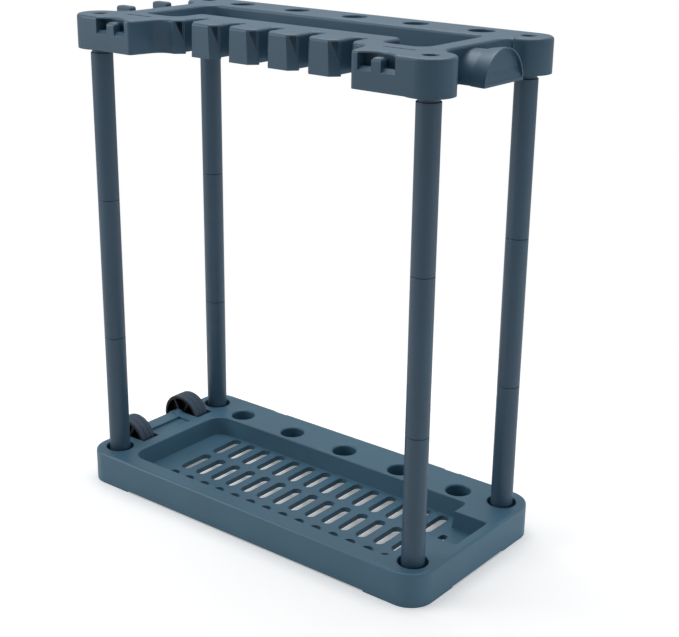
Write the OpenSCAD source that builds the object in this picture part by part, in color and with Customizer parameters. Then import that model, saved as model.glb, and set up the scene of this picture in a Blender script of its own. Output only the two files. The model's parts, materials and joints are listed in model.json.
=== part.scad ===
// Free-standing garden tool rack. A slotted base tray on two wheels carries four
// posts of three plug-in segments, and they carry a top frame with slots for long
// handles, round tool holes, two hook recesses, two hanger arms and a hose holder.
// Sizes are in millimetres. Z is up, X runs along the rack with the wheels at the
// negative end, the finger slots face negative Y, and the origin is on the floor
// under the middle of the whole rack, wheels included. Places along X are given
// from the middle of the base tray, which lies a little to the right of it.

/* [Posts] */
// Distance of a post's axis from the tray's end
post_inset_x = 40; // [36:1:46]
// Distance of a post's axis from the tray's front or rear
post_inset_y = 45; // [41:1:49]
// Outer diameter of a post segment
post_diameter = 37; // [34:0.5:38]
// Wall of a post segment
post_wall = 2.1; // [1.6:0.1:2.6]
// Length of a post segment without its spigot
segment_length = 252; // [180:1:320]
// Length of the spigot on top of each segment
spigot_length = 40; // [30:1:50]
// Gap all round a plugged-in spigot
spigot_gap = 0.2; // [0.1:0.05:0.3]
// Gap left between two seated pieces
seat_gap = 0.3; // [0.2:0.05:0.5]
// Bevel on the ends of a segment
segment_bevel = 0.8; // [0.4:0.1:1]

/* [Base tray] */
// Length of the base tray along X
tray_length = 740; // [732:1:760]
// Depth of the base tray along Y
tray_depth = 350; // [346:1:370]
// Height of the base tray
tray_height = 58; // [54:1:64]
// Radius of the tray's upright corners
tray_corner = 42; // [36:1:48]
// Radius of the tray's outer upper edge
tray_edge = 5; // [3:0.5:6]
// Wall of the tray's moulded skin
tray_wall = 3.2; // [2.6:0.1:4]
// Thickness of the tray's upper skin
tray_skin = 3.5; // [3:0.1:4.5]
// Lift of the lower edge between the corner feet
foot_lift = 2.4; // [1.5:0.1:4]
// Length of a corner foot along X
foot_length = 103; // [90:1:120]
// Length of a corner foot along Y
foot_depth = 100; // [90:1:110]

/* [Basin and slots] */
// Distance of the basin's left edge from the tray's end
basin_inset_left = 84; // [80:1:90]
// Distance of the basin's right edge from the tray's end
basin_inset_right = 82; // [80:1:88]
// Distance of the basin's front edge from the tray's front
basin_inset_front = 32; // [29:1:35]
// Distance of the basin's rear edge from the tray's rear
basin_inset_rear = 87; // [86:1:91]
// Radius of the basin's two left corners
basin_corner_left = 30; // [20:1:36]
// Radius of the basin's two right corners
basin_corner_right = 10; // [8:1:14]
// Radius of the basin's upper edge
basin_edge = 3; // [2:0.5:4]
// Slope of the basin's walls, as the inset of their foot
basin_draft = 5; // [2:0.5:7]
// Height of the basin floor's upper face
basin_floor = 24; // [20:1:30]
// Thickness of the basin floor
floor_thickness = 9; // [6:0.5:10]
// Number of slots in a row
slot_count = 14; // [10:1:14]
// Distance from slot to slot in a row
slot_pitch = 36.8; // [34:0.1:38]
// Width of a slot
slot_width = 20; // [14:0.5:22]
// Length of a slot in the rear and middle rows
slot_length = 70; // [50:1:72]
// Place of the slot rows' middle along X
slot_x = 14; // [8:1:15]
// Distance of the rear row's middle from the basin's rear edge
rear_row_inset = 43; // [42:0.5:44]
// Distance from the rear row to the middle row
row_pitch = 83.5; // [83:0.5:84]
// Length of a slot in the front row
front_slot_length = 41; // [30:1:44]
// Distance of the front row's middle from the basin's front edge
front_row_inset = 35.5; // [34:0.5:37]
// Place of the short slot beside the hand pocket along Y
end_slot_y = 10.5; // [0:0.5:20]
// Length of that short slot
end_slot_length = 25; // [18:1:30]
// Width of that short slot
end_slot_width = 13; // [8:1:14]
// Distance of that short slot past the basin's right edge
end_slot_offset = 2.5; // [0:0.5:4]
// Length of the hand pocket along X
pocket_length = 65; // [50:1:68]
// Width of the hand pocket along Y
pocket_width = 95; // [70:1:100]
// Place of the hand pocket's middle along Y
pocket_y = 2.5; // [-5:0.5:5]
// Radius of the hand pocket's corners
pocket_corner = 5; // [4:0.5:10]
// Radius of the hand pocket's upper edge
pocket_edge = 2; // [1:0.5:3]

/* [Handle cups] */
// Number of cups in the tray and of round holes in the top frame
cup_count = 5; // [3:1:5]
// Distance from cup to cup
cup_pitch = 125; // [110:1:126]
// Diameter of a cup
cup_diameter = 43.4; // [38:0.2:46]
// Distance of the cups' axes from the tray's rear
cup_inset = 57; // [53:0.5:58]
// Height of a cup's floor
cup_floor = 20; // [12:1:30]
// Wall of a cup
cup_wall = 2.4; // [2:0.1:3]
// Radius of a cup's upper edge
cup_edge = 4.2; // [3:0.1:4.4]

/* [Post sockets in the tray] */
// Height of a socket's floor
socket_floor = 20; // [12:1:26]
// Gap round a post in its socket
socket_gap = 0.3; // [0.2:0.05:0.5]
// Diameter of the wider mouth round a post
mouth_diameter = 48.6; // [44:0.2:52]
// Depth of that mouth
mouth_depth = 20; // [12:1:26]
// Radius of that mouth's upper edge
mouth_edge = 2.5; // [1:0.5:3]
// Wall of a socket
socket_wall = 3; // [2.4:0.1:4]

/* [Wheel end] */
// Distance of the wheel axle from the tray's end
axle_inset = 12; // [10:0.5:14]
// Lift of the wheels off the floor while the rack stands
wheel_lift = 1.5; // [1:0.1:3]
// Diameter of a wheel
wheel_diameter = 86; // [80:1:88]
// Width of a wheel
wheel_width = 33; // [28:0.5:34]
// Distance of a wheel's middle from the posts' axes along Y
wheel_inset = 58.5; // [58:0.5:59]
// Gap between a wheel and the inner end of its well
well_gap = 7; // [5:0.5:9]
// Width of a wheel well
well_width = 39; // [38:0.5:41]
// Depth of the sunken field between the wheels
field_depth = 5; // [3:0.5:8]
// Length of that field along X
field_length = 30; // [20:1:31]
// Gap between that field and the front wheel well
field_gap_front = 2; // [2:0.5:8]
// Gap between that field and the rear wheel well
field_gap_rear = 19; // [4:0.5:22]
// Width of the rim between that field and the basin
field_rim = 24; // [20:1:30]
// Radius of the axle lug that swells out of the tray
lug_radius = 17.5; // [15:0.5:19]
// Length of the axle lug along Y
lug_length = 16; // [10:1:18]
// Width of the cut in the crown of the axle lug
lug_cut_width = 9; // [6:0.5:10]
// Length of that cut
lug_cut_length = 6; // [4:0.5:8]
// Depth of that cut
lug_cut_depth = 2.2; // [1:0.1:3]
// Distance from the one to the other of two notches in the tray's rear upper edge
edge_notch_spacing = 400; // [380:5:420]
// Length of those notches
edge_notch_length = 31; // [20:1:40]
// Depth and height of those notches
edge_notch_depth = 5; // [3:0.5:6]

/* [Wheels and axle] */
// Diameter of the axle
axle_diameter = 8; // [6:0.5:9]
// Bevel on the ends of the axle
axle_bevel = 0.8; // [0.4:0.1:1.2]
// Gap between the axle and a wheel's bore
axle_gap = 0.06; // [0.03:0.01:0.1]
// Gap between the axle and the tray
axle_seat_gap = 0.1; // [0.05:0.05:0.2]
// Thickness of a wheel's rolling rim
rim_thickness = 6; // [4:0.5:8]
// Diameter of a wheel's hub
hub_diameter = 24; // [18:1:28]
// Gap between a wheel's hub and the sides of its well
hub_gap = 0.4; // [0.3:0.05:0.6]
// Thickness of a wheel's web
web_thickness = 4; // [3:0.5:6]
// Depth from a wheel's side to the edges of its spokes
spoke_inset = 2.5; // [1:0.5:4]
// Number of spokes on a wheel
spoke_count = 6; // [5:1:8]
// Width of a spoke
spoke_width = 4; // [3:0.5:6]
// Width of a groove round the rolling rim
tread_groove_width = 1.6; // [1:0.1:3]
// Depth of that groove
tread_groove_depth = 0.6; // [0.4:0.1:2]
// Number of grooves round the rolling rim
tread_groove_count = 2; // [1:1:4]
// Bevel on a wheel's rim
rim_bevel = 1.6; // [1:0.1:2]
// Diameter of an axle cap
cap_diameter = 16; // [13:1:18]
// Thickness of an axle cap
cap_thickness = 6; // [5:0.5:7]
// Diameter of the flat crown of an axle cap
cap_crown = 8; // [4:0.5:10]
// Height of the straight rim of an axle cap
cap_rim = 3; // [1:0.5:4]
// Depth of the axle in its cap
cap_grip = 4; // [3:0.5:5]

/* [Top frame] */
// Height of the top frame's apron
frame_height = 54; // [50:1:58]
// Skin left above a spigot in the top frame
boss_cap = 22.8; // [18:0.2:26]
// Diameter of the round bosses over the posts
boss_diameter = 76; // [70:1:78]
// Extra height of a boss below the apron
boss_drop = 1; // [0.5:0.5:3]
// Wall of the tube that takes a spigot inside a boss
boss_tube_wall = 3.2; // [2.4:0.1:4]
// Thickness of the webs inside a boss
boss_web = 2.4; // [1.8:0.1:3]
// Lift of those webs above the boss's lower edge
boss_web_lift = 6; // [3:0.5:10]
// Diameter of the hole in a boss
boss_hole = 23.4; // [16:0.2:26]
// Radius of the top frame's upper edges
frame_edge = 5; // [4:0.5:6]
// Wall of the top frame's moulded skin
frame_wall = 3.2; // [2.8:0.1:3.6]
// Thickness of the top frame's upper skin
frame_skin = 3.6; // [3.2:0.1:4.4]
// Distance of an end beam's middle from the posts' axes along X
beam_inset = 30; // [28:1:32]
// Width of an end beam
beam_width = 34; // [32:1:36]
// Width of the rear rail
rear_rail_width = 83; // [80:1:86]
// Reach of the front rail past the middle of a shoulder's half head
rail_reach = 5; // [3:1:8]
// Width of the front rail
front_rail_width = 38; // [34:1:42]
// Distance of the front rail's front edge from the frame's front
rail_set = 110; // [108:1:112]
// Height of the rail's lower edge above the apron's
rail_lift = 2.5; // [1:0.5:4]
// Radius of the front rail's free corners
rail_corner = 12; // [8:1:14]
// Distance of the bays' front edge from the frame's front
bay_set = 90; // [88:1:91]
// Radius of the fillets inside the frame
bay_fillet = 20; // [14:1:24]
// Radius of the fillets between an end beam and a boss
neck_fillet = 36; // [20:1:38]

/* [Fingers] */
// Number of fingers
finger_count = 4; // [2:1:4]
// Distance from finger to finger
finger_pitch = 80; // [78:0.5:82]
// Length of a finger in front of the rail
finger_length = 55; // [51:1:58]
// Width of the slot for a handle between two fingers
handle_gap = 22; // [21:0.5:24]
// Radius of the corners at the rear end of that slot
handle_corner = 9; // [6:0.5:10]
// Width of a head's front face
head_front = 38.5; // [36:0.5:40]
// Width of a head at its rear
head_width = 61; // [60:0.5:62]
// Length of a head
head_length = 15; // [14:0.5:17]
// Angle of a head's sloping sides from the finger's length
head_angle = 42; // [40:1:46]
// Lean of the sloping sides towards their top
head_tilt = 2; // [0.5:0.5:2]
// Width of the window in a sloping side
window_width = 11; // [9:0.5:11]
// Height of that window
window_height = 26; // [20:1:30]
// Distance of that window from the head's front face
window_set = 3; // [2.5:0.5:3]
// Width of the raised rim round that window
window_rim = 1.6; // [1:0.2:1.6]
// Rise of that rim
window_rise = 0.8; // [0.4:0.1:1.2]

/* [Shoulders and hook blocks] */
// Distance of a shoulder's front from the frame's front
shoulder_set = 58; // [55:1:62]
// Distance of a hook block's inner front corner from the end beam's middle
block_reach = 80; // [78:1:82]
// Slope of the block's inner side between its front and the shoulder
block_slope = 13; // [10:1:16]
// Radius of the block's upright corners
block_corner = 7; // [5.5:0.5:8]
// Radius of the fillet between block and shoulder
block_fillet = 26; // [18:1:28]
// Distance of a hook recess from the end beam's middle
hook_offset = 34; // [30:1:36]
// Width of a hook recess
hook_width = 65; // [58:1:66]
// Depth of a hook recess front to back
hook_depth = 21; // [19:1:24]
// Height of a hook recess, from its floor to the frame's top
hook_height = 21; // [20:1:26]
// Rise of the curved edge over a hook recess
hook_arch = 16; // [10:1:18]
// Radius of that edge's round-over
hook_arc_edge = 4; // [2:0.5:5]
// Slope on the lip of a hook recess
hook_lip = 6; // [3:0.5:7]
// Width of the peg in a hook recess
peg_width = 16.5; // [14:0.5:17]
// Depth of that peg
peg_depth = 16; // [14:1:17]
// Height of that peg above the recess floor
peg_height = 14.5; // [12:0.5:18]
// Radius of the peg's crown
peg_crown = 6.5; // [4:0.5:6.5]
// Distance of the groove behind a hook recess from the end beam's middle
groove_offset = 37.5; // [36:0.5:38]
// Length of that groove
groove_length = 55; // [40:1:56]
// Width of that groove
groove_width = 7; // [6.5:0.5:8]
// Distance of that groove from the frame's front
groove_set = 59.5; // [58:0.5:60]
// Depth of that groove
groove_depth = 14; // [8:1:20]
// Radius of that groove's corners
groove_corner = 3; // [1:0.5:3]

/* [Round tool holes] */
// Distance from hole to hole
hole_pitch = 123.5; // [110:0.5:124]
// Diameter of a round tool hole
hole_diameter = 42; // [36:0.5:44]
// Distance of the round holes from the frame's rear
hole_set = 40; // [39:1:42]
// Narrowing of a hole's diameter towards its foot
hole_taper = 5; // [2:0.5:6]
// Radius of a hole's upper edge
hole_edge = 2.5; // [2:0.5:3]
// Wall of the collar round a hole
collar_wall = 2.6; // [2:0.1:3]
// Depth of that collar
collar_depth = 30; // [20:1:40]

/* [Hose holder] */
// Radius of the holder's drum
drum_radius = 46; // [42:0.5:47]
// Length of the drum outside the end beam
drum_length = 27; // [22:1:32]
// Radius of the holder's flange at its drum
flange_root = 48.5; // [47.5:0.5:50]
// Radius of the flange at its face
flange_radius = 52; // [51:0.5:53]
// Length of the flange
flange_length = 26; // [20:1:30]
// Length of the straight rim at the flange's face
flange_rim = 5; // [3:0.5:7]
// Height of the holder's foot above the apron's lower edge
holder_lift = 2; // [0:0.5:4]
// Width of the rim round the flange's face
face_rim = 2.4; // [2:0.2:4]
// Depth of the field in the face
face_depth = 6; // [5:0.5:9]
// Height of the sloping shelf's foot above the holder's foot
shelf_foot = 5; // [4:0.5:8]
// Height of the sloping shelf
shelf_height = 14; // [10:0.5:18]
// Radius of the hollow inside the drum
drum_bore = 41; // [36:1:42]

/* [Hanger arms] */
// Distance of an arm from the middle, front to back
arm_y = 42.5; // [38:0.5:56]
// Width of an arm
arm_width = 14; // [10:1:18]
// Reach of an arm outside the end beam
arm_reach = 60; // [52:1:64]
// Height of an arm at the beam
arm_height = 20; // [16:1:24]
// Distance of an arm's top below the frame's top
arm_fall = 25; // [22:1:28]
// Length of an arm's raised tip along X
tip_length = 32; // [24:1:34]
// Rise of the tip above the frame's top
tip_rise = 2; // [1:0.5:8]
// Radius of the tip's upper corners
tip_round = 5; // [3:0.5:6]
// Radius of an arm's upper edges
arm_edge = 3; // [2:0.5:4]

/* [What to build] */

/* [Hidden] */
$fn = 64;
// Extra length of a cut past the face that it opens
over = 1;
// Depth by which a rounded edge is sunk, so that its arc ends in a crisp line
edge_sink = 0.2;
// Width of the bar that forms a hook block's sloping side, most of it in the block
bar_width = 32;
tray_color = [0.17, 0.29, 0.34];
frame_color = [0.15, 0.22, 0.28];
post_color = [0.13, 0.2, 0.26];
wheel_color = [0.04, 0.045, 0.055];
metal_color = [0.6, 0.61, 0.62];

// Outline of the tray and the posts' axes in it
tray_x = tray_length / 2;
tray_y = tray_depth / 2;
post_x = tray_x - post_inset_x;
post_y = tray_y - post_inset_y;

// Posts, from their foot in the tray to the top of the last spigot
post_radius = post_diameter / 2;
post_bore = post_radius - post_wall;
spigot_radius = post_bore - spigot_gap;
spigot_bore = spigot_radius - post_wall;
post_foot = socket_floor + seat_gap;
segment_step = segment_length + seat_gap;
spigot_top = post_foot + 2 * segment_step + segment_length + spigot_length;

// Heights and places in the top frame
frame_top = spigot_top + seat_gap + boss_cap;
frame_bottom = frame_top - frame_height;
boss_bottom = frame_bottom - boss_drop;
boss_radius = boss_diameter / 2;
frame_z = [frame_bottom, frame_top];
hollow_z = [boss_bottom - over, frame_top - frame_skin];
feature_top = frame_top - frame_skin / 2;
frame_reach = post_y + boss_radius;
beam_x = post_x - beam_inset;
beam_in = beam_x - beam_width / 2;
beam_out = beam_x + beam_width / 2;
rear_rail_y = frame_reach - rear_rail_width;
front_rail_front = frame_reach - rail_set;
front_rail_rear = front_rail_front - front_rail_width;
bay_front = frame_reach - bay_set;
shoulder_front = frame_reach - shoulder_set;
shoulder_mid = (finger_count + 1) / 2 * finger_pitch;
rail_end = shoulder_mid + rail_reach;
rail_z = [frame_bottom + rail_lift, frame_top];
finger_front = front_rail_front + finger_length;
shank_half = (finger_pitch - handle_gap) / 2;
block_x = beam_x - block_reach;
hook_x = beam_x - hook_offset;
groove_x = beam_x - groove_offset;
groove_y = frame_reach - groove_set;
hole_y = frame_reach - hole_set;
slope_angle = atan(block_slope / (frame_reach - shoulder_front));
block_pivot = [block_x + block_corner, block_corner - frame_reach];
block_inner_x = block_pivot[0] - (block_corner - edge_sink) / cos(slope_angle)
    - (-shoulder_front - block_pivot[1]) * tan(slope_angle);
slope_length = frame_reach - bay_front - 2 * block_corner - frame_edge;
hook_floor = frame_top - hook_height;
hook_arc_radius = (pow(hook_width / 2, 2) + pow(hook_arch, 2)) / (2 * hook_arch);
hole_radius = hole_diameter / 2;
holder_foot = frame_bottom + holder_lift;
flange_x = beam_out + drum_length;
face_x = flange_x + flange_length;

// Heights and places in the base tray
tray_feature_top = tray_height - tray_skin / 2;
basin_left = tray_x - basin_inset_left;
basin_right = tray_x - basin_inset_right;
basin_front = tray_y - basin_inset_front;
basin_rear = tray_y - basin_inset_rear;
rear_row_y = basin_rear - rear_row_inset;
middle_row_y = rear_row_y - row_pitch;
front_row_y = front_row_inset - basin_front;
end_slot_x = basin_right + end_slot_offset;
cup_y = tray_y - cup_inset;
basin_middle = (basin_right - basin_left) / 2;
pocket_end = basin_right + pocket_length;
cup_radius = cup_diameter / 2;
mouth_radius = mouth_diameter / 2;
axle_x = tray_x - axle_inset;
wheel_y = post_y - wheel_inset;
well_in = axle_x - wheel_diameter / 2 - well_gap;
field_in = basin_left + field_rim;
axle_z = wheel_lift + wheel_diameter / 2;
axle_radius = axle_diameter / 2;
well_outer = wheel_y + well_width / 2;
well_inner = wheel_y - well_width / 2;
field_y = [field_gap_front - well_inner, well_inner - field_gap_rear];
cap_seat = well_outer + tray_wall + seat_gap;
axle_half = cap_seat + cap_grip;
// Distance of the tray's middle from the middle of the rack with its wheels
tray_shift = (axle_x + wheel_diameter / 2 - tray_x) / 2;

// Flat outline of a bar from a[0] to a[1] and z[0] to z[1] with rounded upper corners
module soft_profile(a, z, edge) {
    width = a[1] - a[0];
    height = z[1] - z[0];
    translate([a[0], z[0]])
        square([width, height - edge + edge_sink]);
    translate([a[0] + edge, z[0]])
        square([width - 2 * edge, height]);
    for (middle = [a[0] + edge, a[1] - edge])
        intersection() {
            translate([middle, z[1] - edge + edge_sink])
                circle(edge);
            translate([a[0], z[0]])
                square([width, height]);
        }
}

// Flat outline of a cut whose sides lean in by draft at the foot and round over at the top
module flare_profile(a, z, edge, draft) {
    polygon([
        [a[0] + draft, z[0]], [a[1] - draft, z[0]], [a[1], z[1] - edge],
        [a[1], z[1] + over], [a[0], z[1] + over], [a[0], z[1] - edge]
    ]);
    difference() {
        translate([a[0] - edge, z[1] - edge + edge_sink])
            square([a[1] - a[0] + 2 * edge, edge - edge_sink + over]);
        for (middle = [a[0] - edge, a[1] + edge])
            translate([middle, z[1] - edge + edge_sink])
                circle(edge);
    }
}

// Straight beam along X with rounded upper edges and open ends
module beam_along_x(x, y, z, edge) {
    translate([x[0], 0, 0])
        rotate([90, 0, 90])
            linear_extrude(x[1] - x[0])
                soft_profile(y, z, edge);
}

// Straight beam along Y with rounded upper edges and open ends
module beam_along_y(x, y, z, edge) {
    translate([0, y[1], 0])
        rotate([90, 0, 0])
            linear_extrude(y[1] - y[0])
                soft_profile(x, z, edge);
}

// Round boss with a rounded upper edge
module soft_disc(radius, z, edge) {
    rotate_extrude()
        intersection() {
            soft_profile([-radius, radius], z, edge);
            translate([0, z[0]])
                square([radius, z[1] - z[0]]);
        }
}

// Block with rounded upright corners and rounded upper edges
module soft_block(x, y, z, corner, edge) {
    beam_along_x([x[0] + corner, x[1] - corner], y, z, edge);
    beam_along_y(x, [y[0] + corner, y[1] - corner], z, edge);
    for (px = [x[0] + corner, x[1] - corner], py = [y[0] + corner, y[1] - corner])
        translate([px, py, 0])
            soft_disc(corner, z, edge);
}

// Slab with rounded upright corners and plain upper edges
module slab(x, y, z, corner) {
    translate([x[0] + corner, y[0], z[0]])
        cube([x[1] - x[0] - 2 * corner, y[1] - y[0], z[1] - z[0]]);
    translate([x[0], y[0] + corner, z[0]])
        cube([x[1] - x[0], y[1] - y[0] - 2 * corner, z[1] - z[0]]);
    for (px = [x[0] + corner, x[1] - corner], py = [y[0] + corner, y[1] - corner])
        translate([px, py, z[0]])
            cylinder(h = z[1] - z[0], r = corner);
}

// Box given by its ends along X, Y and Z
module box(x, y, z) {
    translate([x[0], y[0], z[0]])
        cube([x[1] - x[0], y[1] - y[0], z[1] - z[0]]);
}

// Round cut that rounds over at its top
module flare(radius, z, edge, draft = 0) {
    rotate_extrude()
        intersection() {
            flare_profile([-radius, radius], z, edge, draft);
            translate([0, z[0]])
                square([radius + edge, z[1] - z[0] + over]);
        }
}

// Cut with rounded upright corners that rounds over at its top
module soft_opening(x, y, z, corner, edge, draft = 0) {
    translate([x[0] + corner, 0, 0])
        rotate([90, 0, 90])
            linear_extrude(x[1] - x[0] - 2 * corner)
                flare_profile(y, z, edge, draft);
    translate([0, y[1] - corner, 0])
        rotate([90, 0, 0])
            linear_extrude(y[1] - y[0] - 2 * corner)
                flare_profile(x, z, edge, draft);
    for (px = [x[0] + corner, x[1] - corner], py = [y[0] + corner, y[1] - corner])
        translate([px, py, 0])
            flare(corner, z, edge, draft);
}

// Fillet in the corner at c between two walls that leave it along u and v. With a
// bite it runs a little into both walls, so that they cross in a crisp line, and with a
// lift it ends above the apron's lower edge.
module soft_fillet(c, u, v, radius, bite = 0, lift = 0) {
    half = acos(u * v) / 2;
    reach = radius / tan(half);
    bisector = (u + v) / norm(u + v);
    centre = c + bisector * (radius / sin(half) - bite);
    into_u = (u * cos(2 * half) - v) / sin(2 * half);
    into_v = (v * cos(2 * half) - u) / sin(2 * half);
    depth = frame_edge + over;
    difference() {
        translate([0, 0, frame_bottom + lift])
            linear_extrude(frame_height - lift)
                polygon([
                    c + u * reach, c + u * reach + into_u * depth,
                    c - bisector * depth,
                    c + v * reach + into_v * depth, c + v * reach
                ]);
        translate([centre[0], centre[1], 0])
            flare(radius, [frame_bottom - over, frame_top], frame_edge);
    }
}

// Fillet between the outer face of an end beam and a rear boss. It bites a little
// into the boss, so that the two round faces cross in a crisp line.
module neck() {
    run = beam_out + neck_fillet - post_x;
    low = post_y - sqrt(pow(boss_radius + neck_fillet - edge_sink, 2) - pow(run, 2));
    touch_x = post_x + run * boss_radius / (boss_radius + neck_fillet);
    difference() {
        box([beam_out - frame_edge - over, touch_x], [low, post_y], frame_z);
        translate([beam_out + neck_fillet, low, 0])
            flare(neck_fillet, [frame_bottom - over, frame_top], frame_edge);
    }
}

// Slot with round ends, drawn flat, its length along Y
module slot_outline(width, length) {
    square([width, length - width], center = true);
    for (side = [-1, 1])
        translate([0, side * (length - width) / 2])
            circle(width / 2);
}

// Moves a piece onto the right sloping side of a head whose front face is at -front
module at_slope(front) {
    translate([head_front / 2, -front, frame_bottom])
        rotate([0, -head_tilt, -head_angle])
            children();
}

// Places a piece on the sloping sides of all heads
module on_slopes() {
    for (side = [0, 1])
        mirror([side, 0, 0]) {
            for (index = [0 : finger_count - 1])
                translate([(index - (finger_count - 1) / 2) * finger_pitch, 0, 0])
                    at_slope(finger_front)
                        children();
            translate([-shoulder_mid, 0, 0])
                at_slope(shoulder_front)
                    children();
        }
}

// Bar with a head's right sloping side, drawn in by inset, and a rounded upper edge. It
// reaches past the head everywhere else.
module slope_cover(front, inset) {
    reach = 2 * head_width;
    round_z = frame_height - frame_edge + 2 * edge_sink;
    at_slope(front)
        translate([-inset, head_width, 0])
            rotate([90, 0, 0])
                linear_extrude(reach) {
                    translate([-reach, -over])
                        square([reach, round_z + over]);
                    translate([-reach, -over])
                        square([reach - frame_edge, frame_height + head_length]);
                    translate([-frame_edge, round_z])
                        circle(frame_edge);
                }
}

// Head of a finger, drawn in by inset, with its front face at -front
module head(front, inset) {
    half = head_width / 2 - inset;
    intersection() {
        beam_along_x([-half, half], [inset - front, 0], [frame_bottom, frame_top - inset], frame_edge);
        box([-head_width, head_width], [-frame_reach, head_length - inset - front],
            [frame_bottom - over, frame_top + over]);
        slope_cover(front, inset);
        mirror([1, 0, 0])
            slope_cover(front, inset);
    }
}

// One finger of the front rail, drawn in by inset, in place along Y
module finger(inset) {
    head(finger_front, inset);
    beam_along_y(
        [inset - shank_half, shank_half - inset],
        [head_length - inset - over - finger_front, frame_edge + over - front_rail_front],
        [rail_z[0], frame_top - inset], frame_edge
    );
}

// Window through a head's right sloping side
module window() {
    far = window_set + window_width;
    top = frame_height - frame_skin;
    translate([-2 * frame_wall, 0, 0])
        rotate([90, 0, 90])
            linear_extrude(2 * frame_wall + window_rise + over)
                polygon([[window_set, top], [far, top], [far, top - window_height]]);
}

// Raised rim round that window
module window_frame() {
    far = window_set + window_width + window_rim;
    top = frame_height - frame_skin;
    low = top - window_height - 2 * window_rim;
    slant = window_width / window_height;
    near = window_set - window_rim * norm([window_width, window_height]) / window_height;
    translate([-over, 0, 0])
        rotate([90, 0, 90])
            linear_extrude(over + window_rise)
                polygon([[near, top], [far, top], [far, low], [near + (top - low) * slant, low]]);
}

// Bar with the sloping inner side of a hook block. It reaches past the frame's lower
// and upper faces and is cut back to them, so that it ends level with the block.
module slope_bar() {
    wall_x = edge_sink - block_corner;
    round_z = frame_height - frame_edge + edge_sink;
    intersection() {
        translate([block_pivot[0], block_pivot[1], frame_bottom])
            rotate([0, 0, slope_angle])
                translate([0, slope_length, 0])
                    rotate([90, 0, 0])
                        linear_extrude(slope_length) {
                            translate([wall_x, -over])
                                square([bar_width, round_z + over]);
                            translate([wall_x + frame_edge, -over])
                                square([bar_width - frame_edge, frame_height + 2 * over]);
                            intersection() {
                                translate([wall_x + frame_edge, round_z])
                                    circle(frame_edge);
                                translate([wall_x, 0])
                                    square([frame_edge + over, frame_height + over]);
                            }
                        }
        box([shoulder_mid, beam_x], [-frame_reach, -bay_front], frame_z);
    }
}

// Everything that makes the top frame's outer form
module frame_outline() {
    beam_along_x([-post_x, post_x], [rear_rail_y, frame_reach], frame_z, frame_edge);
    beam_along_x(
        [rail_corner - rail_end, rail_end - rail_corner], [-front_rail_front, -front_rail_rear],
        rail_z, frame_edge
    );
    for (side = [0, 1])
        mirror([side, 0, 0])
            frame_end();
    for (index = [0 : finger_count - 1])
        translate([(index - (finger_count - 1) / 2) * finger_pitch, 0, 0])
            finger(0);
    for (index = [0 : finger_count], side = [-1, 1]) {
        corner_x = (index - finger_count / 2) * finger_pitch + side * handle_gap / 2;
        soft_fillet([corner_x, -front_rail_front], [-side, 0], [0, -1], handle_corner, 0, rail_lift);
    }
    on_slopes()
        window_frame();
}

// Outer form of the frame's right end
module frame_end() {
    for (side = [-1, 1])
        translate([post_x, side * post_y, 0])
            soft_disc(boss_radius, [boss_bottom, frame_top], frame_edge);
    beam_along_y([beam_in, beam_out], [-post_y, post_y], frame_z, frame_edge);
    beam_along_x([block_pivot[0], beam_x], [-frame_reach, -bay_front], frame_z, frame_edge);
    beam_along_x([beam_x, post_x], [-frame_reach, -post_y], frame_z, frame_edge);
    translate([block_pivot[0], block_pivot[1], 0])
        soft_disc(block_corner, frame_z, frame_edge);
    slope_bar();
    beam_along_x([shoulder_mid, beam_x], [-shoulder_front, -bay_front], frame_z, frame_edge);
    intersection() {
        translate([shoulder_mid, 0, 0])
            head(shoulder_front, 0);
        box([0, shoulder_mid], [-frame_reach, 0], [frame_bottom - over, frame_top + over]);
    }
    beam_along_y(
        [shoulder_mid - shank_half, rail_end],
        [head_length - over - shoulder_front, -front_rail_rear - rail_corner], rail_z, frame_edge
    );
    translate([rail_end - rail_corner, -front_rail_rear - rail_corner, 0])
        soft_disc(rail_corner, rail_z, frame_edge);
    soft_fillet(
        [block_inner_x, -shoulder_front], [sin(slope_angle), -cos(slope_angle)], [-1, 0],
        block_fillet, edge_sink
    );
    soft_fillet([rail_end, -bay_front], [1, 0], [0, 1], bay_fillet);
    soft_fillet([beam_in, -bay_front], [-1, 0], [0, 1], bay_fillet);
    soft_fillet([beam_in, rear_rail_y], [-1, 0], [0, -1], bay_fillet);
    for (side = [0, 1])
        mirror([0, side, 0])
            neck();
}

// Space inside the frame, open towards the floor
module frame_hollow() {
    wall = frame_wall;
    box([-post_x, post_x], [rear_rail_y + wall, frame_reach - wall], hollow_z);
    box([wall - rail_end, rail_end - wall], [wall - front_rail_front, -front_rail_rear - wall], hollow_z);
    for (side = [0, 1])
        mirror([side, 0, 0]) {
            for (end = [-1, 1])
                translate([post_x, end * post_y, hollow_z[0]])
                    cylinder(h = hollow_z[1] - hollow_z[0], r = boss_radius - wall);
            box([beam_in + wall, beam_out - wall], [-post_y, post_y], hollow_z);
            box([block_x + wall, beam_out - wall], [wall - frame_reach, -bay_front - wall], hollow_z);
            box([shoulder_mid - over, beam_x], [wall - shoulder_front, -bay_front - wall], hollow_z);
            box([shoulder_mid - shank_half + wall, rail_end - wall],
                [head_length - wall - over - shoulder_front, -front_rail_front + wall + over],
                hollow_z);
        }
    translate([0, 0, -over]) {
        for (index = [0 : finger_count - 1])
            translate([(index - (finger_count - 1) / 2) * finger_pitch, 0, 0])
                finger(wall);
        for (side = [-1, 1])
            translate([side * shoulder_mid, 0, 0])
                head(shoulder_front, wall);
    }
}

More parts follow.
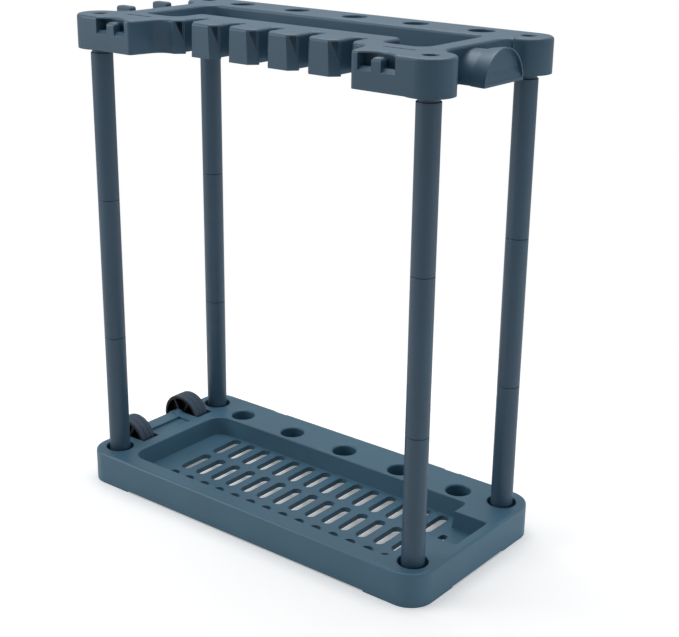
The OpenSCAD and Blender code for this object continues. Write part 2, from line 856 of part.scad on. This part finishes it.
// Solid places inside the frame: boss tubes and webs, hole collars, recess and groove boxes
module frame_features() {
    tube_radius = post_bore + boss_tube_wall;
    for (sx = [-1, 1], sy = [-1, 1])
        translate([sx * post_x, sy * post_y, 0]) {
            translate([0, 0, boss_bottom])
                cylinder(h = feature_top - boss_bottom, r = tube_radius);
            for (turn = [0, 90])
                rotate([0, 0, turn])
                    box([-boss_radius + frame_wall / 2, boss_radius - frame_wall / 2],
                        [-boss_web / 2, boss_web / 2], [boss_bottom + boss_web_lift, feature_top]);
        }
    for (index = [0 : cup_count - 1])
        translate([(index - (cup_count - 1) / 2) * hole_pitch, hole_y, feature_top - collar_depth])
            cylinder(
                h = collar_depth, r1 = hole_radius - hole_taper / 2 + collar_wall,
                r2 = hole_radius + collar_wall
            );
    for (side = [0, 1])
        mirror([side, 0, 0]) {
            box([hook_x - hook_width / 2 - frame_wall, hook_x + hook_width / 2 + frame_wall],
                [frame_wall / 2 - frame_reach, frame_wall + hook_depth - frame_reach],
                [hook_floor - hook_lip - frame_wall, feature_top]);
            box([groove_x - groove_length / 2 - frame_wall, groove_x + groove_length / 2 + frame_wall],
                [-groove_y - groove_width / 2 - frame_wall, -groove_y + groove_width / 2 + frame_wall],
                [frame_top - groove_depth - frame_wall, feature_top]);
        }
}

// Recess in the face of a hook block, its curved upper edge, and the groove behind it
module hook_cuts() {
    front = -frame_reach;
    translate([hook_x - hook_width / 2, 0, 0])
        rotate([90, 0, 90])
            linear_extrude(hook_width)
                polygon([
                    [front - over, hook_floor - hook_lip - over], [front + hook_lip, hook_floor],
                    [front + hook_depth, hook_floor], [front + hook_depth, hollow_z[1]],
                    [front - over, hollow_z[1]]
                ]);
    translate([hook_x, front + hook_arch - hook_arc_radius, 0])
        flare(hook_arc_radius, [hollow_z[1] - over, frame_top], hook_arc_edge);
    soft_opening(
        [groove_x - groove_length / 2, groove_x + groove_length / 2],
        [-groove_y - groove_width / 2, -groove_y + groove_width / 2],
        [frame_top - groove_depth, frame_top], groove_corner, hole_edge
    );
}

// Peg that stands in a hook recess
module peg() {
    x = [hook_x - peg_width / 2, hook_x + peg_width / 2];
    y = [-frame_reach, peg_depth - frame_reach];
    z = [hook_floor - hook_lip - over, hook_floor + peg_height];
    intersection() {
        beam_along_x(x, y, z, peg_crown);
        beam_along_y(x, y, z, peg_crown);
    }
}

// Half round hose holder outside the right end beam: drum, flange and a sloping shelf
module hose_holder() {
    field_foot = holder_foot + shelf_foot;
    difference() {
        translate([0, 0, holder_foot])
            rotate([0, 90, 0]) {
                translate([0, 0, beam_out - frame_wall])
                    cylinder(h = drum_length + frame_wall + over, r = drum_radius);
                translate([0, 0, flange_x])
                    cylinder(h = flange_length - flange_rim, r1 = flange_root, r2 = flange_radius);
                translate([0, 0, face_x - flange_rim])
                    cylinder(h = flange_rim, r = flange_radius);
            }
        box([beam_in, face_x + over], [-flange_radius - over, flange_radius + over],
            [holder_foot - flange_radius - over, holder_foot]);
        difference() {
            translate([face_x - face_depth, 0, holder_foot])
                rotate([0, 90, 0])
                    cylinder(h = face_depth + over, r = flange_radius - face_rim);
            box([beam_out, face_x + 2 * over], [-flange_radius, flange_radius],
                [holder_foot - flange_radius, field_foot]);
            translate([0, flange_radius, 0])
                rotate([90, 0, 0])
                    linear_extrude(2 * flange_radius)
                        polygon([
                            [face_x - face_depth - over, field_foot - over],
                            [face_x - over, field_foot - over], [face_x - over, field_foot],
                            [face_x - face_depth, field_foot + shelf_height],
                            [face_x - face_depth - over, field_foot + shelf_height]
                        ]);
        }
        translate([beam_out + frame_wall, 0, holder_foot])
            rotate([0, 90, 0])
                cylinder(h = face_x - face_depth - beam_out - 2 * frame_wall, r = drum_bore);
    }
}

// Two upturned arms outside the left end beam
module hanger_arms() {
    arm_top = frame_top - arm_fall;
    arm_foot = arm_top - arm_height;
    tip_top = frame_top + tip_rise;
    tip_in = arm_reach - tip_length;
    for (side = [-1, 1])
        translate([-beam_out, side * arm_y, 0])
            intersection() {
                translate([0, arm_width / 2, 0])
                    rotate([90, 0, 0])
                        linear_extrude(arm_width) {
                            polygon([
                                [frame_wall, arm_foot], [frame_wall, arm_top], [-tip_in, arm_top],
                                [-tip_in, tip_top - tip_round], [-arm_reach, tip_top - tip_round],
                                [-arm_reach, arm_foot + tip_round], [tip_round - arm_reach, arm_foot]
                            ]);
                            translate([0, tip_top - 2 * tip_round])
                                soft_profile([-arm_reach, -tip_in], [0, 2 * tip_round], tip_round);
                        }
                beam_along_x([-arm_reach, frame_wall], [-arm_width / 2, arm_width / 2],
                    [arm_foot, tip_top], arm_edge);
            }
}

// Top frame: an open-bottomed moulding with sockets for the four posts
module top_frame() {
    color(frame_color) {
        difference() {
            union() {
                difference() {
                    frame_outline();
                    frame_hollow();
                }
                frame_features();
            }
            for (sx = [-1, 1], sy = [-1, 1])
                translate([sx * post_x, sy * post_y, 0]) {
                    translate([0, 0, boss_bottom - over])
                        cylinder(h = spigot_top + seat_gap - boss_bottom + over, r = post_bore);
                    flare(boss_hole / 2, [spigot_top, frame_top], hole_edge);
                }
            for (index = [0 : cup_count - 1])
                translate([(index - (cup_count - 1) / 2) * hole_pitch, hole_y, 0]) {
                    translate([0, 0, feature_top - collar_depth - over])
                        cylinder(
                            h = collar_depth + over - hole_edge, r1 = hole_radius - hole_taper / 2,
                            r2 = hole_radius
                        );
                    flare(hole_radius, [feature_top - hole_edge - over, frame_top], hole_edge);
                }
            for (side = [0, 1])
                mirror([side, 0, 0])
                    hook_cuts();
            on_slopes()
                window();
        }
        for (side = [0, 1])
            mirror([side, 0, 0])
                peg();
        hose_holder();
        hanger_arms();
    }
}

// All floor slots of the basin, drawn flat
module slot_field() {
    for (column = [0 : slot_count - 1])
        translate([slot_x + (column - (slot_count - 1) / 2) * slot_pitch, 0]) {
            translate([0, rear_row_y])
                slot_outline(slot_width, slot_length);
            translate([0, middle_row_y])
                slot_outline(slot_width, slot_length);
            translate([0, front_row_y])
                slot_outline(slot_width, front_slot_length);
        }
    translate([end_slot_x, end_slot_y])
        slot_outline(end_slot_width, end_slot_length);
}

// Solid places inside the tray: basin, pocket, cups, sockets and wheel wells
module tray_features() {
    wall = tray_wall;
    floor_z = [basin_floor - floor_thickness, tray_feature_top];
    box([-basin_left - wall, basin_right + wall], [-basin_front - wall, basin_rear + wall], floor_z);
    box([basin_right, pocket_end + wall],
        [pocket_y - pocket_width / 2 - wall, pocket_y + pocket_width / 2 + wall], floor_z);
    for (index = [0 : cup_count - 1])
        translate([(index - (cup_count - 1) / 2) * cup_pitch, cup_y, cup_floor - cup_wall])
            cylinder(h = tray_feature_top - cup_floor + cup_wall, r = cup_radius + cup_wall);
    for (sx = [-1, 1], sy = [-1, 1])
        translate([sx * post_x, sy * post_y, socket_floor - socket_wall])
            cylinder(h = tray_feature_top - socket_floor + socket_wall, r = mouth_radius + socket_wall);
    for (side = [-1, 1]) {
        box([wall / 2 - tray_x, wall - well_in],
            side > 0 ? [well_inner - wall, well_outer + wall] : [-well_outer - wall, wall - well_inner],
            [foot_lift, tray_feature_top]);
        notch_half = edge_notch_length / 2 + wall;
        notch_middle = side * edge_notch_spacing / 2;
        notch_x = [notch_middle - notch_half, notch_middle + notch_half];
        notch_floor = tray_height - edge_notch_depth - wall;
        notch_in = tray_y - edge_notch_depth - wall;
        box(notch_x, [notch_in, tray_y - wall / 2], [notch_floor, tray_height - tray_edge]);
        box(notch_x, [notch_in, tray_y - tray_edge], [notch_floor, tray_feature_top]);
    }
    box([-field_in - field_length - wall, wall - field_in],
        [field_y[0] - wall, field_y[1] + wall],
        [tray_height - field_depth - tray_skin, tray_feature_top]);
}

// Rounded lugs that carry the axle between the wheels
module axle_lugs() {
    for (side = [-1, 1])
        difference() {
            intersection() {
                translate([-axle_x, side * (well_inner - lug_length / 2), axle_z])
                    rotate([90, 0, 0])
                        cylinder(h = lug_length, r = lug_radius, center = true);
                box([-tray_x, 0], [-tray_y, tray_y], [foot_lift, axle_z + lug_radius + over]);
            }
            translate([-axle_x, side * (well_inner - lug_length / 2), axle_z + lug_radius])
                cube([lug_cut_width, lug_cut_length, 2 * lug_cut_depth], center = true);
        }
}

// Everything that is cut out of the finished tray
module tray_cuts() {
    basin_z = [basin_floor, tray_height];
    basin_y = [-basin_front, basin_rear];
    soft_opening([-basin_left, basin_middle + basin_corner_left], basin_y, basin_z,
        basin_corner_left, basin_edge, basin_draft);
    soft_opening([basin_middle - basin_corner_left, basin_right], basin_y, basin_z,
        basin_corner_right, basin_edge, basin_draft);
    soft_opening([basin_right - pocket_width / 2, pocket_end],
        [pocket_y - pocket_width / 2, pocket_y + pocket_width / 2], basin_z,
        pocket_corner, pocket_edge);
    translate([0, 0, basin_floor - floor_thickness - over])
        linear_extrude(floor_thickness + 2 * over)
            slot_field();
    for (index = [0 : cup_count - 1])
        translate([(index - (cup_count - 1) / 2) * cup_pitch, cup_y, 0])
            flare(cup_radius, [cup_floor, tray_height], cup_edge);
    for (sx = [-1, 1], sy = [-1, 1])
        translate([sx * post_x, sy * post_y, 0]) {
            translate([0, 0, socket_floor])
                cylinder(h = tray_height, r = post_radius + socket_gap);
            flare(mouth_radius, [tray_height - mouth_depth, tray_height], mouth_edge);
        }
    for (side = [-1, 1]) {
        box([-tray_x - over, -well_in], side > 0 ? [well_inner, well_outer] : [-well_outer, -well_inner],
            [-over, tray_height + over]);
        translate([side * edge_notch_spacing / 2, 0, 0])
            box([-edge_notch_length / 2, edge_notch_length / 2],
                [tray_y - edge_notch_depth, tray_y + over],
                [tray_height - edge_notch_depth, tray_height + over]);
    }
    box([-field_in - field_length, -field_in], field_y, [tray_height - field_depth, tray_height + over]);
    box([foot_length - tray_x, tray_x - foot_length], [-tray_y - over, tray_y + over], [-over, foot_lift]);
    box([-tray_x - over, tray_x + over], [foot_depth - tray_y, tray_y - foot_depth], [-over, foot_lift]);
}

// Base tray: an open-bottomed moulding with a slotted basin, cups and post sockets
module base_tray() {
    inner = tray_wall;
    color(tray_color)
        difference() {
            union() {
                difference() {
                    soft_block(
                        [-tray_x, tray_x], [-tray_y, tray_y], [0, tray_height], tray_corner, tray_edge
                    );
                    slab([inner - tray_x, tray_x - inner], [inner - tray_y, tray_y - inner],
                        [-over, tray_height - tray_skin], tray_corner - inner);
                }
                tray_features();
                axle_lugs();
            }
            tray_cuts();
            translate([-axle_x, 0, axle_z])
                rotate([90, 0, 0])
                    cylinder(
                        h = 2 * (well_outer + tray_wall + over), r = axle_radius + axle_seat_gap,
                        center = true
                    );
        }
}

// One post segment with its spigot up and its bore down
module post_segment() {
    top = segment_length;
    tip = segment_length + spigot_length;
    bevel = segment_bevel;
    rotate_extrude()
        polygon([
            [post_bore, 0], [post_radius - bevel, 0], [post_radius, bevel], [post_radius, top - bevel],
            [post_radius - bevel, top], [spigot_radius, top], [spigot_radius, tip - bevel],
            [spigot_radius - bevel, tip], [spigot_bore, tip], [spigot_bore, top - post_wall],
            [post_bore, top - post_wall]
        ]);
}

// A post segment in its place: side signs along X and Y, and its level from 0 to 2
module placed_segment(sx, sy, level) {
    color(post_color)
        translate([sx * post_x, sy * post_y, post_foot + level * segment_step])
            post_segment();
}

// Moulded wheel with a spoked web, its axis along Y
module wheel() {
    radius = wheel_diameter / 2;
    inner = radius - rim_thickness;
    hub_half = well_width / 2 - hub_gap;
    half = wheel_width / 2;
    groove_step = wheel_width / (tread_groove_count + 1);
    color(wheel_color)
        rotate([90, 0, 0])
            difference() {
                union() {
                    rotate_extrude() {
                        polygon([
                            [inner, -half], [radius - rim_bevel, -half], [radius, rim_bevel - half],
                            [radius, half - rim_bevel], [radius - rim_bevel, half], [inner, half]
                        ]);
                        translate([0, -web_thickness / 2])
                            square([inner + over, web_thickness]);
                        translate([0, -hub_half])
                            square([hub_diameter / 2, 2 * hub_half]);
                    }
                    for (turn = [0 : spoke_count - 1])
                        rotate([0, 0, turn * 360 / spoke_count])
                            box([0, inner + over], [-spoke_width / 2, spoke_width / 2],
                                [spoke_inset - half, half - spoke_inset]);
                }
                cylinder(h = 2 * (hub_half + over), r = axle_radius + axle_gap, center = true);
                for (index = [1 : tread_groove_count])
                    translate([0, 0, index * groove_step - half])
                        rotate_extrude()
                            translate([radius - tread_groove_depth, -tread_groove_width / 2])
                                square([tread_groove_depth + over, tread_groove_width]);
            }
}

// A wheel in its place at the given side along Y
module placed_wheel(side) {
    translate([-axle_x, side * wheel_y, axle_z])
        wheel();
}

// Axle rod along Y
module axle() {
    bevel = axle_bevel;
    color(metal_color)
        translate([-axle_x, 0, axle_z])
            rotate([90, 0, 0])
                rotate_extrude()
                    polygon([
                        [0, -axle_half], [axle_radius - bevel, -axle_half], [axle_radius, bevel - axle_half],
                        [axle_radius, axle_half - bevel], [axle_radius - bevel, axle_half], [0, axle_half]
                    ]);
}

// Domed cap on an end of the axle, at the given side along Y
module axle_cap(side) {
    cap_radius = cap_diameter / 2;
    grip = cap_grip + seat_gap;
    color(metal_color)
        translate([-axle_x, side * cap_seat, axle_z])
            rotate([-side * 90, 0, 0])
                rotate_extrude()
                    difference() {
                        polygon([
                            [0, 0], [cap_radius, 0], [cap_radius, cap_rim],
                            [cap_crown / 2, cap_thickness], [0, cap_thickness]
                        ]);
                        translate([0, -over])
                            square([axle_radius + axle_gap, grip + over]);
                    }
}

// Moves a piece from the tray's middle to the middle of the whole rack
module centred() {
    translate([tray_shift, 0, 0])
        children();
}

centred() base_tray();
centred() top_frame();
centred() placed_segment(-1, -1, 0);  // post_front_left_lower
centred() placed_segment(-1, -1, 1);  // post_front_left_middle
centred() placed_segment(-1, -1, 2);  // post_front_left_upper
centred() placed_segment(1, -1, 0);  // post_front_right_lower
centred() placed_segment(1, -1, 1);  // post_front_right_middle
centred() placed_segment(1, -1, 2);  // post_front_right_upper
centred() placed_segment(-1, 1, 0);  // post_rear_left_lower
centred() placed_segment(-1, 1, 1);  // post_rear_left_middle
centred() placed_segment(-1, 1, 2);  // post_rear_left_upper
centred() placed_segment(1, 1, 0);  // post_rear_right_lower
centred() placed_segment(1, 1, 1);  // post_rear_right_middle
centred() placed_segment(1, 1, 2);  // post_rear_right_upper
centred() placed_wheel(-1);  // wheel_front
centred() placed_wheel(1);  // wheel_rear
centred() axle();
centred() axle_cap(-1);  // axle_cap_front
centred() axle_cap(1);  // axle_cap_rear
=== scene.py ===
"""Looks of the garden tool rack: finishes, fine detail, floor, lamps and camera."""
import json
import math

import bpy
from mathutils import Matrix, Vector

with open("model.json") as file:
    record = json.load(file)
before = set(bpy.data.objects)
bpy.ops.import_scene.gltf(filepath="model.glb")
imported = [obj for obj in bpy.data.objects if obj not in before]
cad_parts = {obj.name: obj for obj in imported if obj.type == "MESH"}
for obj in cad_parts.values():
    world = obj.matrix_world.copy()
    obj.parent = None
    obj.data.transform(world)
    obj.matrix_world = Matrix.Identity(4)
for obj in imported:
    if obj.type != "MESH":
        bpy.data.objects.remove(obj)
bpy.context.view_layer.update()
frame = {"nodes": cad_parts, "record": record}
NODES = frame["nodes"]

# Colours, linear
BLUE = (0.041, 0.094, 0.145)
BLUE_TRAY = (0.055, 0.139, 0.208)
BLUE_POST = (0.038, 0.082, 0.128)
WHEEL_BLACK = (0.004, 0.005, 0.008)
TREAD_SLATE = (0.046, 0.072, 0.108)
STEEL = (0.52, 0.53, 0.54)
WHITE = (1.0, 1.0, 1.0)
FLOOR_GREY = (0.82, 0.82, 0.82)
ROOM_TINT = (0.97, 0.99, 1.0)

# Plastic: noise scales per metre of its mottling, sheen, grain and slight waves
MOTTLE_SCALE, SHEEN_SCALE, GRAIN_SCALE, WAVE_SCALE = 9.0, 900.0, 2600.0, 40.0
# Share of the colour at the darkest and the palest of the mottling
MOTTLE_DARK, MOTTLE_PALE = 0.94, 1.06
# Roughness below and above the finish's own
SMOOTHER, ROUGHER = 0.05, 0.06
# Height of the grain and of the waves in metres, and how strongly they shade
GRAIN_HEIGHT, GRAIN_STRENGTH = 0.0002, 0.10
WAVE_HEIGHT, WAVE_STRENGTH = 0.001, 0.12
# Painted highlight on the edges: gain, brightest share, and samples of the softened normal
HIGHLIGHT_GAIN, HIGHLIGHT_MOST, RIM_SAMPLES = 1.2, 0.25, 6
# Reach of the softened edges in metres, on large mouldings and on the wheels
EDGE, WHEEL_EDGE = 0.0012, 0.0008

# Steel: noise scales of the drawn lines, height and strength of the lines, roughness
LINES_ACROSS, LINES_ALONG = 900.0, 60.0
LINES_HEIGHT, LINES_STRENGTH = 0.0001, 0.15
STEEL_SMOOTH, STEEL_ROUGH = 0.22, 0.38

# Part of a noise's range that is spread over the wanted values
NOISE_LOW, NOISE_HIGH = 0.3, 0.7
# Shares of a wheel's radius between which its side turns into its tread
TREAD_FROM, TREAD_FULL = 0.94, 0.97
# Shading: reach of the weld between neighbouring faces, and angle of a crisp edge in degrees
WELD_REACH = 0.00001
CRISP_ANGLE = 25.0

# Surroundings: floor's width, its lift towards white, and where its shadow fades out, in metres
FLOOR_WIDTH = 12.0
FLOOR_LIFT = 0.25
SHADOW_NEAR, SHADOW_FAR = 0.55, 1.1
# Share of the white that mirrored rays see, and strength of the room's light
MIRRORED_WHITE = 0.3
ROOM_STRENGTH = 0.30


def tree(name):
    """A new material with its node tree, emptied."""
    mat = bpy.data.materials.new(name)
    mat.use_nodes = True
    nt = mat.node_tree
    nt.nodes.clear()
    return mat, nt


def link(nt, a, b):
    nt.links.new(a, b)


def add(nt, kind, **values):
    """A shader node with its socket values set by name."""
    n = nt.nodes.new(kind)
    for k, v in values.items():
        n.inputs[k.replace("_", " ")].default_value = v
    return n


def opaque(colour):
    return (*colour, 1.0)


def math_node(nt, op, a, b):
    """A sum on two numbers, each an output or a plain value."""
    n = nt.nodes.new("ShaderNodeMath")
    n.operation = op
    for i, v in enumerate((a, b)):
        if isinstance(v, (int, float)):
            n.inputs[i].default_value = v
        else:
            link(nt, v, n.inputs[i])
    return n.outputs[0]


def vector_node(nt, op, a, b=None):
    """A sum on one or two vectors, the second an output or a plain value."""
    n = nt.nodes.new("ShaderNodeVectorMath")
    n.operation = op
    link(nt, a, n.inputs[0])
    if isinstance(b, tuple):
        n.inputs[1].default_value = b
    elif b is not None:
        link(nt, b, n.inputs[1])
    return n


def noise(nt, coord, scale, detail):
    n = add(nt, "ShaderNodeTexNoise", Scale=scale, Detail=detail)
    link(nt, coord, n.inputs["Vector"])
    return n.outputs["Fac"]


def spread(nt, fac, low, high):
    """Maps a noise value to the range from low to high."""
    n = add(nt, "ShaderNodeMapRange", From_Min=NOISE_LOW, From_Max=NOISE_HIGH, To_Min=low, To_Max=high)
    link(nt, fac, n.inputs["Value"])
    return n.outputs["Result"]


def bump(nt, height, strength, distance, normal=None):
    """Shades a height, on top of another normal where one is given."""
    n = add(nt, "ShaderNodeBump", Strength=strength, Distance=distance)
    link(nt, height, n.inputs["Height"])
    if normal is not None:
        link(nt, normal, n.inputs["Normal"])
    return n.outputs[0]


def principled(name):
    """A new material with its node tree, its shader and the position on the surface."""
    mat, nt = tree(name)
    out = nt.nodes.new("ShaderNodeOutputMaterial")
    bsdf = nt.nodes.new("ShaderNodeBsdfPrincipled")
    link(nt, bsdf.outputs[0], out.inputs["Surface"])
    where = nt.nodes.new("ShaderNodeNewGeometry").outputs["Position"]
    return mat, nt, bsdf, where


def plastic(name, colour, rough, grain=1.0, edge=EDGE, specular=0.5):
    """Moulded plastic: mottled colour, sparked grain, softened edges and a painted highlight along the
    edges.
    """
    mat, nt, bsdf, where = principled(name)
    # Painted edge highlight: the colour is lightened where the softened normal leaves the true one
    soft = add(nt, "ShaderNodeBevel", Radius=edge)
    soft.samples = RIM_SAMPLES
    true = nt.nodes.new("ShaderNodeNewGeometry").outputs["Normal"]
    dot = vector_node(nt, "DOT_PRODUCT", soft.outputs[0], true)
    edge_highlight = math_node(nt, "SUBTRACT", 1.0, dot.outputs["Value"])
    edge_highlight = math_node(nt, "MULTIPLY", edge_highlight, HIGHLIGHT_GAIN)
    edge_highlight = math_node(nt, "MINIMUM", edge_highlight, HIGHLIGHT_MOST)
    # Colour: random mottling plus the painted edge highlight
    tone = spread(nt, noise(nt, where, MOTTLE_SCALE, 3.0), MOTTLE_DARK, MOTTLE_PALE)
    tone = math_node(nt, "ADD", tone, edge_highlight)
    tint = nt.nodes.new("ShaderNodeMix")
    tint.name = "tint"
    tint.data_type = "RGBA"
    tint.blend_type = "MULTIPLY"
    tint.inputs["Factor"].default_value = 1.0
    tint.inputs["A"].default_value = opaque(colour)
    grey = nt.nodes.new("ShaderNodeCombineColor")
    for channel in grey.inputs:
        link(nt, tone, channel)
    link(nt, grey.outputs[0], tint.inputs["B"])
    link(nt, tint.outputs["Result"], bsdf.inputs["Base Color"])
    # Roughness
    sheen = noise(nt, where, SHEEN_SCALE, 2.0)
    link(nt, spread(nt, sheen, rough - SMOOTHER, rough + ROUGHER), bsdf.inputs["Roughness"])
    bsdf.inputs["Specular IOR Level"].default_value = specular
    # Grain
    grains = noise(nt, where, GRAIN_SCALE, 1.0)
    grained = bump(nt, grains, GRAIN_STRENGTH * grain, GRAIN_HEIGHT, soft.outputs[0])
    waves = noise(nt, where, WAVE_SCALE, 1.0)
    link(nt, bump(nt, waves, WAVE_STRENGTH, WAVE_HEIGHT, grained), bsdf.inputs["Normal"])
    return mat


def tread(mat):
    """Gives a wheel's tread its own slate colour, by distance from the wheel's middle."""
    nt = mat.node_tree
    place = nt.nodes.new("ShaderNodeTexCoord").outputs["Generated"]
    middle = vector_node(nt, "SUBTRACT", place, (0.5, 0.5, 0.5))
    flat = vector_node(nt, "MULTIPLY", middle.outputs[0], (2.0, 0.0, 2.0))
    radius = vector_node(nt, "LENGTH", flat.outputs[0])
    on_tread = add(nt, "ShaderNodeMapRange", From_Min=TREAD_FROM, From_Max=TREAD_FULL)
    link(nt, radius.outputs["Value"], on_tread.inputs["Value"])
    two = nt.nodes.new("ShaderNodeMix")
    two.data_type = "RGBA"
    two.inputs["A"].default_value = opaque(WHEEL_BLACK)
    two.inputs["B"].default_value = opaque(TREAD_SLATE)
    link(nt, on_tread.outputs["Result"], two.inputs["Factor"])
    link(nt, two.outputs["Result"], nt.nodes["tint"].inputs["A"])
    return mat


def steel(name):
    """Steel drawn along Y."""
    mat, nt, bsdf, where = principled(name)
    stretch = add(nt, "ShaderNodeMapping", Scale=(LINES_ACROSS, LINES_ALONG, LINES_ACROSS))
    link(nt, where, stretch.inputs["Vector"])
    lines = noise(nt, stretch.outputs[0], 1.0, 3.0)
    bsdf.inputs["Base Color"].default_value = opaque(STEEL)
    bsdf.inputs["Metallic"].default_value = 1.0
    link(nt, spread(nt, lines, STEEL_SMOOTH, STEEL_ROUGH), bsdf.inputs["Roughness"])
    link(nt, bump(nt, lines, LINES_STRENGTH, LINES_HEIGHT), bsdf.inputs["Normal"])
    return mat


FINISH = {
    "tray_plastic": plastic("tray_plastic_look", BLUE_TRAY, 0.40),
    "frame_plastic": plastic("frame_plastic_look", BLUE, 0.40),
    "post_plastic": plastic("post_plastic_look", BLUE_POST, 0.38, 0.7),
    "wheel_plastic": tread(plastic("wheel_plastic_look", WHEEL_BLACK, 0.50, 1.0, WHEEL_EDGE, 0.3)),
    "axle_steel": steel("axle_steel_look"),
    "cap_steel": steel("cap_steel_look"),
}
SLOT_OF = {row["node"]: row["material_slot"] for row in frame["record"]["subparts"]}
for name, obj in NODES.items():
    obj.data.materials.clear()
    obj.data.materials.append(FINISH[SLOT_OF[name]])
    # Even shading across the seams between faces that meet smoothly
    weld = obj.modifiers.new("weld", "WELD")
    weld.merge_threshold = WELD_REACH
    crisp = obj.modifiers.new("crisp_edges", "EDGE_SPLIT")
    crisp.split_angle = math.radians(CRISP_ANGLE)
    crisp.use_edge_sharp = False
    even = obj.modifiers.new("even_shading", "WEIGHTED_NORMAL")
    even.mode = "FACE_AREA"
    even.keep_sharp = True


# Floor and surroundings
def seen(nt):
    """1 for the rays that show the surroundings to the camera, part of it for mirrored ones."""
    path = nt.nodes.new("ShaderNodeLightPath")
    mirrored = math_node(nt, "MAXIMUM", path.outputs["Is Glossy Ray"], path.outputs["Is Transmission Ray"])
    mirrored = math_node(nt, "MULTIPLY", mirrored, MIRRORED_WHITE)
    return math_node(nt, "MAXIMUM", path.outputs["Is Camera Ray"], mirrored)


def blend(nt, fac, first, second):
    """Mixes two shaders by a factor."""
    n = nt.nodes.new("ShaderNodeMixShader")
    for socket, value in zip(n.inputs, (fac, first, second)):
        link(nt, value, socket)
    return n.outputs[0]


def floor_material():
    """White floor that keeps the rack's shadow and ends in plain white away from it."""
    mat, nt = tree("floor_look")
    out = nt.nodes.new("ShaderNodeOutputMaterial")
    plain = add(nt, "ShaderNodeBsdfDiffuse", Color=opaque(FLOOR_GREY))
    paper = add(nt, "ShaderNodeBsdfDiffuse", Color=opaque(WHITE))
    lift = add(nt, "ShaderNodeEmission", Color=opaque(WHITE), Strength=FLOOR_LIFT)
    both = nt.nodes.new("ShaderNodeAddShader")
    link(nt, paper.outputs[0], both.inputs[0])
    link(nt, lift.outputs[0], both.inputs[1])
    glow = add(nt, "ShaderNodeEmission", Color=opaque(WHITE), Strength=1.0)
    where = nt.nodes.new("ShaderNodeNewGeometry").outputs["Position"]
    away = vector_node(nt, "LENGTH", where)
    fade = add(nt, "ShaderNodeMapRange", From_Min=SHADOW_NEAR, From_Max=SHADOW_FAR)
    fade.interpolation_type = "SMOOTHSTEP"
    link(nt, away.outputs["Value"], fade.inputs["Value"])
    near = blend(nt, fade.outputs["Result"], both.outputs[0], glow.outputs[0])
    link(nt, blend(nt, seen(nt), plain.outputs[0], near), out.inputs["Surface"])
    return mat


bpy.ops.mesh.primitive_plane_add(size=FLOOR_WIDTH, location=(0, 0, 0))
floor = bpy.context.object
floor.name = "floor"
floor.data.materials.append(floor_material())

world = bpy.data.worlds.new("surroundings")
bpy.context.scene.world = world
world.use_nodes = True
air = world.node_tree
air.nodes.clear()
sky = air.nodes.new("ShaderNodeOutputWorld")
white = add(air, "ShaderNodeBackground", Color=opaque(WHITE), Strength=1.0)
room = add(air, "ShaderNodeBackground", Color=opaque(ROOM_TINT), Strength=ROOM_STRENGTH)
link(air, blend(air, seen(air), room.outputs[0], white.outputs[0]), sky.inputs["Surface"])


def lamp(name, place, aim, size, power):
    """An area lamp: place, aim and size in metres, power in watts."""
    data = bpy.data.lights.new(name, "AREA")
    data.shape = "RECTANGLE"
    data.size, data.size_y = size
    data.energy = power
    obj = bpy.data.objects.new(name, data)
    bpy.context.collection.objects.link(obj)
    obj.location = place
    obj.rotation_euler = (Vector(aim) - Vector(place)).to_track_quat("-Z", "Y").to_euler()
    return obj


lamp("overhead", (-0.2, 0.4, 2.6), (0, 0, 0.4), (2.4, 1.8), 46.0)
lamp("front_left", (-2.1, -2.0, 1.5), (0, 0, 0.4), (1.5, 1.6), 28.0)
# The low lamp lights the tray's right end and isn't mirrored in the frame
low_right = lamp("low_right", (2.2, 0.8, 0.16), (0.3, 0, 0.16), (1.6, 0.3), 13.0)
low_right.visible_glossy = False

# Camera: focal length and picture width in pixels, angles in degrees, place in metres
FOCAL_PIXELS, PICTURE_PIXELS = 1342.24, 679.0
SENSOR_WIDTH = 36.0
AZIMUTH, ELEVATION, ROLL = (math.radians(a) for a in (38.05, 19.69, 0.76))
EYE = Vector((1.3861, -1.6528, 1.1157))
level = math.cos(ELEVATION)
back = Vector((math.sin(AZIMUTH) * level, -math.cos(AZIMUTH) * level, math.sin(ELEVATION)))
across = (-back).cross(Vector((0, 0, 1))).normalized()
upright = across.cross(-back)
side = math.cos(ROLL) * across + math.sin(ROLL) * upright
up = -math.sin(ROLL) * across + math.cos(ROLL) * upright
cam_data = bpy.data.cameras.new("camera")
cam_data.sensor_width = SENSOR_WIDTH
cam_data.lens = FOCAL_PIXELS / PICTURE_PIXELS * SENSOR_WIDTH
camera = bpy.data.objects.new("camera", cam_data)
bpy.context.collection.objects.link(camera)
camera.matrix_world = Matrix.Translation(EYE) @ Matrix((side, up, back)).transposed().to_4x4()
bpy.context.scene.camera = camera
bpy.context.scene.view_settings.view_transform = "Standard"
